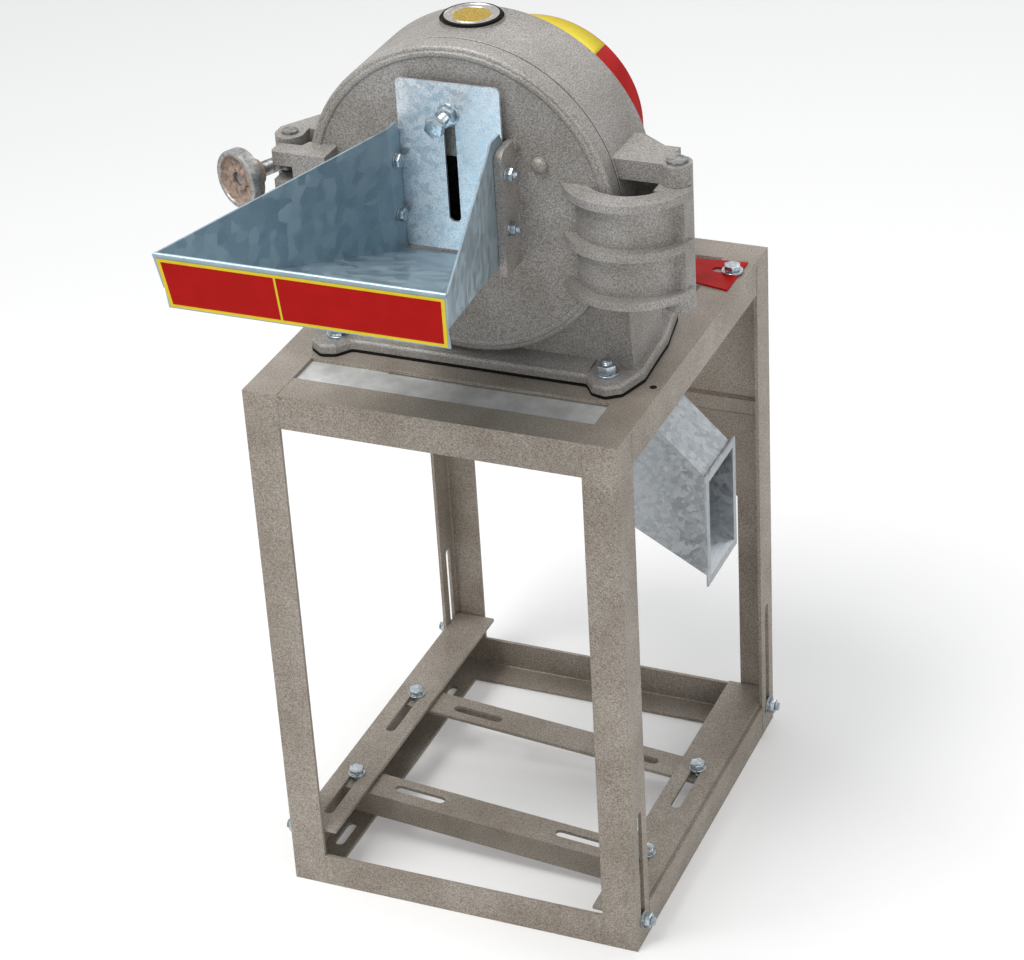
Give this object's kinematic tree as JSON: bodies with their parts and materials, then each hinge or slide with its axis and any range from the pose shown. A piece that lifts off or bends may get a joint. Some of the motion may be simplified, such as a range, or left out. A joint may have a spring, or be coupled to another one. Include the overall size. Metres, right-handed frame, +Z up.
{
  "type": "claw mill on a stand",
  "caption": "Claw grinding mill with a feed tray, slide gate and hinged door, on an angle-iron stand with a discharge chute and a slotted motor carriage.",
  "frame": {"origin": "middle of the stand's footprint, on the floor", "axes": "+X towards the discharge side, +Y from the feed tray to the belt guard, +Z up"},
  "size_m": [0.5078, 0.7165, 1.004],
  "materials": {
    "stand_paint": "grey-beige hammered stoving paint",
    "casting_paint": "grey-beige hammered paint over cast iron",
    "galvanised_sheet": "spangled zinc",
    "zinc_fasteners": "bright zinc plate",
    "casting_bolts": "painted over with the door",
    "turned_steel": "turned and oiled",
    "claw_steel": "bare cast steel",
    "screen_steel": "slotted sheet",
    "pulley_iron": "turned cast iron",
    "wheel_iron": "worn face, brown with rust",
    "guard_paint": "gloss red with a yellow panel",
    "badge_metal": "bare round plate"
  },
  "bodies": {
    "stand": {"leg_front_left": "stand_paint", "leg_front_right": "stand_paint", "leg_rear_left": "stand_paint", "leg_rear_right": "stand_paint", "top_rail_front": "stand_paint", "top_rail_rear": "stand_paint", "top_rail_left": "stand_paint", "top_rail_right": "stand_paint", "base_rail_front": "stand_paint", "base_rail_rear": "stand_paint", "base_rail_left": "stand_paint", "base_rail_right": "stand_paint", "mill_rail_front": "stand_paint", "mill_rail_rear": "stand_paint", "rear_panel": "stand_paint", "mill_casing": "casting_paint", "discharge_chute": "galvanised_sheet", "infill_sheet_left": "galvanised_sheet", "infill_sheet_right": "galvanised_sheet", "foot_bolts": "zinc_fasteners", "guard_bolt": "zinc_fasteners", "chute_rivets": "zinc_fasteners", "hinge_pin": "turned_steel", "latch_pin": "turned_steel", "bearing_front": "turned_steel", "bearing_rear": "turned_steel", "ring_screen": "screen_steel", "bearing_cover": "pulley_iron", "belt_guard": "guard_paint", "badge_disc": "badge_metal"},
    "rotor": {"main_shaft": "turned_steel", "rotor_disc": "claw_steel", "rotor_nut": "turned_steel", "drive_pulley": "pulley_iron", "pulley_key": "turned_steel", "pulley_nut": "turned_steel"},
    "door": {"door": "casting_paint", "fixed_disc": "claw_steel", "fixed_disc_bolts": "casting_bolts", "feed_tray": "galvanised_sheet", "tray_bolts": "zinc_fasteners", "tray_nuts": "zinc_fasteners"},
    "gate": {"slide_gate": "galvanised_sheet"},
    "gate_bolt": {"gate_clamp_bolt": "zinc_fasteners"},
    "gate_nut": {"gate_lock_nut": "zinc_fasteners"},
    "latch": {"swing_bolt": "turned_steel"},
    "latch_wheel": {"handwheel": "wheel_iron"},
    "carriage": {"carriage_rail_left": "stand_paint", "carriage_rail_right": "stand_paint", "carriage_bolts_left": "zinc_fasteners", "carriage_bolts_right": "zinc_fasteners"},
    "front_motor_rail": {"motor_rail_front": "stand_paint", "clamp_bolts_front": "zinc_fasteners"},
    "rear_motor_rail": {"motor_rail_rear": "stand_paint", "clamp_bolts_rear": "zinc_fasteners"}
  },
  "joints": [
    {"name": "rotor_spin", "type": "hinge", "parent": "stand", "child": "rotor", "pos_m": [0, 0, 0.83], "axis": [0, 1, 0], "continuous": true},
    {"name": "door_swing", "type": "hinge", "parent": "stand", "child": "door", "pos_m": [0.225, -0.086, 0.808], "axis": [0, 0, 1], "range_deg": [0, 110]},
    {"name": "gate_lift", "type": "slide", "parent": "door", "child": "gate", "axis": [0, 0, 1], "range_m": [0, 0.11]},
    {"name": "gate_bolt_turn", "type": "hinge", "parent": "door", "child": "gate_bolt", "pos_m": [0, -0.15, 0.932], "axis": [0, 1, 0], "continuous": true},
    {"name": "gate_nut_turn", "type": "hinge", "parent": "gate_bolt", "child": "gate_nut", "pos_m": [0, -0.137, 0.932], "axis": [0, 1, 0], "continuous": true},
    {"name": "latch_swing", "type": "hinge", "parent": "stand", "child": "latch", "pos_m": [-0.192, -0.11, 0.852], "axis": [0, 0, -1], "range_deg": [-25, 75]},
    {"name": "wheel_turn", "type": "hinge", "parent": "latch", "child": "latch_wheel", "pos_m": [-0.22581, -0.18251, 0.852], "axis": [-0.4226, -0.9063, 0], "continuous": true},
    {"name": "carriage_lift", "type": "slide", "parent": "stand", "child": "carriage", "axis": [0, 0, 1], "range_m": [0, 0.11]},
    {"name": "front_rail_shift", "type": "slide", "parent": "carriage", "child": "front_motor_rail", "axis": [0, -1, 0], "range_m": [0, 0.075]},
    {"name": "rear_rail_shift", "type": "slide", "parent": "carriage", "child": "rear_motor_rail", "axis": [0, -1, 0], "range_m": [0, 0.075]}
  ]
}
